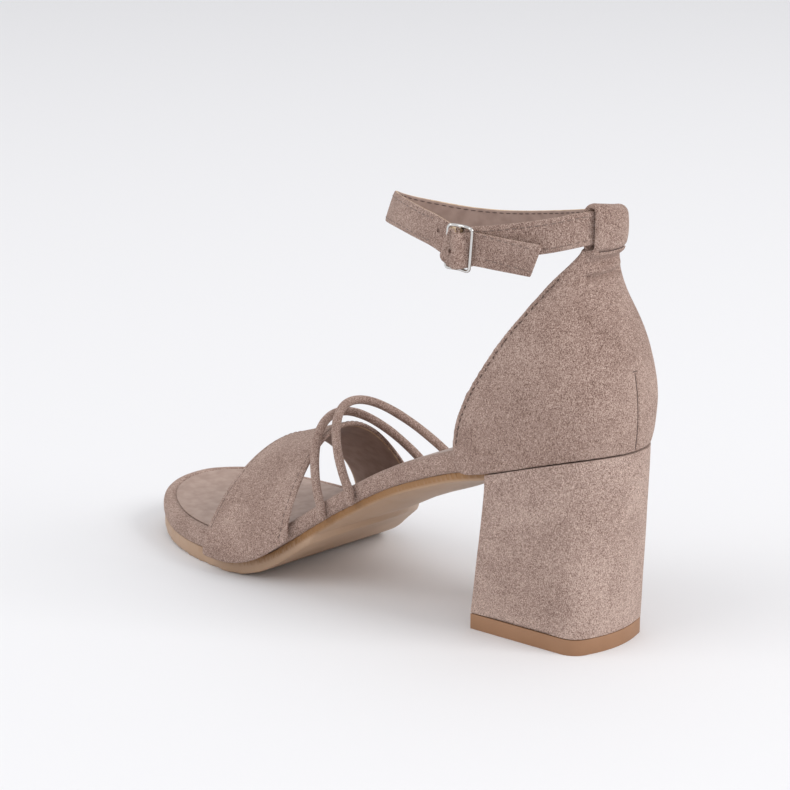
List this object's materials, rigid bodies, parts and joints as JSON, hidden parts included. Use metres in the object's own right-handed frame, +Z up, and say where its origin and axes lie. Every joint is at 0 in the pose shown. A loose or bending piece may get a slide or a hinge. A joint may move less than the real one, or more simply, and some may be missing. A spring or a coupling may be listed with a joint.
{
  "type": "block heel sandal",
  "caption": "Left open-toe sandal with a covered block heel, closed heel counter, buckled ankle strap, two round instep straps and a broad vamp band.",
  "frame": {"origin": "centre of the heel lift's floor face", "axes": "+Z up, -Y towards the toe, +X towards the outer side of the left foot"},
  "size_m": [0.0895, 0.2273, 0.1543],
  "materials": {
    "suede_upper": "napped suede",
    "suede_rim": "napped suede",
    "suede_heel": "napped suede",
    "sock_lining": "smooth lining leather",
    "outsole": "satin resin sole",
    "heel_lift": "satin moulded rubber",
    "buckle_metal": "polished nickel"
  },
  "bodies": {
    "root": {"outsole": "outsole", "footbed": "suede_rim", "insole": "sock_lining", "heel_block": "suede_heel", "heel_lift": "heel_lift", "heel_counter": "suede_upper", "ankle_strap": "suede_upper", "buckle": "buckle_metal", "instep_strap_rear": "suede_upper", "instep_strap_front": "suede_upper", "vamp_band": "suede_upper"}
  },
  "joints": []
}
